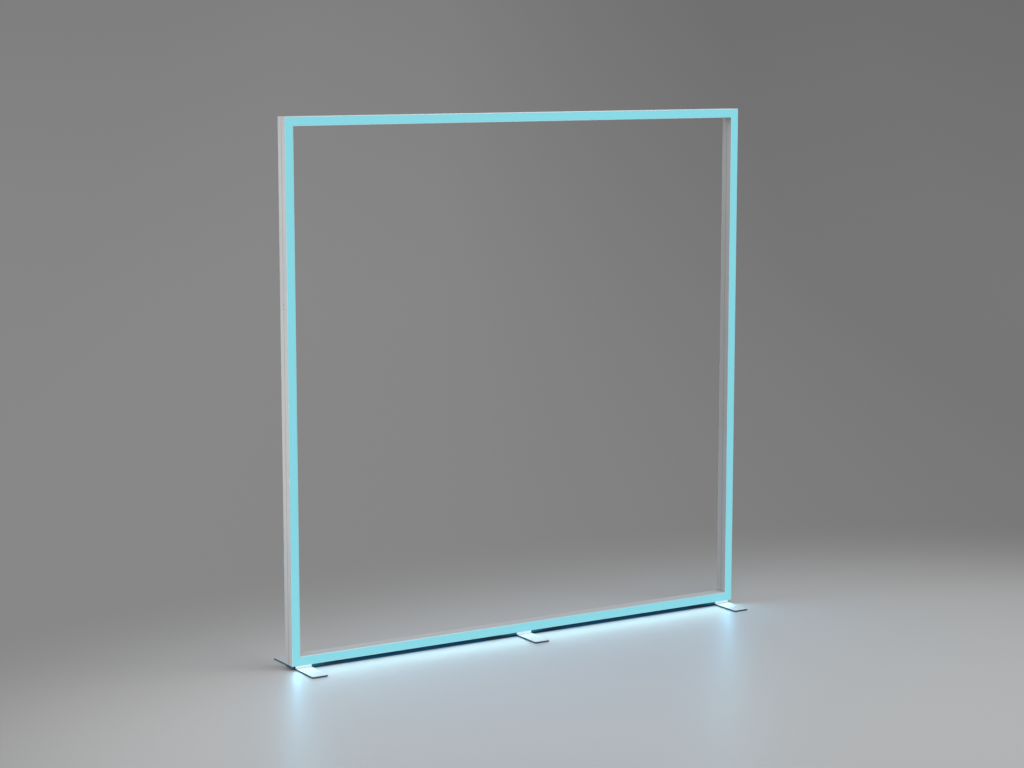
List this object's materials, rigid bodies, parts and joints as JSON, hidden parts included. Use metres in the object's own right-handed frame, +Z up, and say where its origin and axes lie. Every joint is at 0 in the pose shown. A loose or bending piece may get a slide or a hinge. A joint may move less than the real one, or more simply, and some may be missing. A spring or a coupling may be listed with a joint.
{
  "type": "lightbox display wall",
  "caption": "Open square frame of aluminium extrusions with a lit band round its front, standing on flat feet that swivel, with a rear power inlet.",
  "frame": {"origin": "on the floor, under the middle of the frame and at the middle of its depth", "axes": "+X along the wall to the right seen from the lit front, +Y from the front to the back, +Z up"},
  "size_m": [2.5, 0.4, 2.52],
  "materials": {
    "anodised_aluminium": "satin silver anodised extrusion",
    "opal_diffuser": "opal plastic, lit cyan from behind",
    "led_board": "white solder-resist circuit board with lamps",
    "mill_aluminium": "mill finish bar",
    "cast_aluminium": "die cast, matt",
    "wire_sheath": "plastic sheath",
    "zinc_plated_steel": "zinc plated",
    "powder_coated_steel": "pale powder coat",
    "rubber_pad": "thin matt rubber sheet",
    "spacer_plastic": "moulded, satin",
    "inlet_plastic": "black moulded plastic",
    "pin_metal": "nickel plated brass",
    "rocker_plastic": "black gloss rocker",
    "supply_case": "white moulded case"
  },
  "bodies": {
    "frame": {"post_left_lower": "anodised_aluminium", "post_left_upper": "anodised_aluminium", "rail_top_left": "anodised_aluminium", "rail_top_right": "anodised_aluminium", "post_right_upper": "anodised_aluminium", "post_right_lower": "anodised_aluminium", "rail_bottom_right": "anodised_aluminium", "rail_bottom_left": "anodised_aluminium", "diffuser_left": "opal_diffuser", "led_strip_left": "led_board", "splice_bar_left": "mill_aluminium", "diffuser_top": "opal_diffuser", "led_strip_top": "led_board", "splice_bar_top": "mill_aluminium", "diffuser_right": "opal_diffuser", "led_strip_right": "led_board", "splice_bar_right": "mill_aluminium", "diffuser_bottom": "opal_diffuser", "led_strip_bottom": "led_board", "splice_bar_bottom": "mill_aluminium", "corner_bracket_bottom_left": "cast_aluminium", "corner_bracket_top_left": "cast_aluminium", "corner_bracket_top_right": "cast_aluminium", "corner_bracket_bottom_right": "cast_aluminium", "led_link_bottom_left": "wire_sheath", "led_link_top_left": "wire_sheath", "led_link_top_right": "wire_sheath", "splice_screw_post_left_lower": "zinc_plated_steel", "splice_screw_post_left_upper": "zinc_plated_steel", "splice_screw_rail_top_left": "zinc_plated_steel", "splice_screw_rail_top_right": "zinc_plated_steel", "splice_screw_post_right_upper": "zinc_plated_steel", "splice_screw_post_right_lower": "zinc_plated_steel", "splice_screw_rail_bottom_right": "zinc_plated_steel", "splice_screw_rail_bottom_left": "zinc_plated_steel", "foot_spacer_left": "spacer_plastic", "foot_bolt_left": "zinc_plated_steel", "foot_spacer_middle": "spacer_plastic", "foot_bolt_middle": "zinc_plated_steel", "foot_spacer_right": "spacer_plastic", "foot_bolt_right": "zinc_plated_steel", "foot_nut_plate": "zinc_plated_steel", "inlet_housing": "inlet_plastic", "inlet_pin_live": "pin_metal", "inlet_pin_neutral": "pin_metal", "inlet_pin_earth": "pin_metal", "power_supply": "supply_case", "supply_lead": "wire_sheath", "feed_lead": "wire_sheath"},
    "foot_left": {"foot_plate_left": "powder_coated_steel", "foot_pad_left": "rubber_pad"},
    "foot_middle": {"foot_plate_middle": "powder_coated_steel", "foot_pad_middle": "rubber_pad"},
    "foot_right": {"foot_plate_right": "powder_coated_steel", "foot_pad_right": "rubber_pad"},
    "rocker": {"power_rocker": "rocker_plastic"}
  },
  "joints": [
    {"name": "foot_left_swivel", "type": "hinge", "parent": "frame", "child": "foot_left", "pos_m": [-1.19, 0, 0.005], "axis": [0, 0, 1], "range_deg": [-90, 90]},
    {"name": "foot_middle_swivel", "type": "hinge", "parent": "frame", "child": "foot_middle", "pos_m": [0, 0, 0.005], "axis": [0, 0, 1], "range_deg": [-90, 90]},
    {"name": "foot_right_swivel", "type": "hinge", "parent": "frame", "child": "foot_right", "pos_m": [1.19, 0, 0.005], "axis": [0, 0, 1], "range_deg": [-90, 90]},
    {"name": "power_rocker_tilt", "type": "hinge", "parent": "frame", "child": "rocker", "pos_m": [1.2256, 0.0365, 0.2325], "axis": [1, 0, 0], "range_deg": [0, 16]}
  ]
}
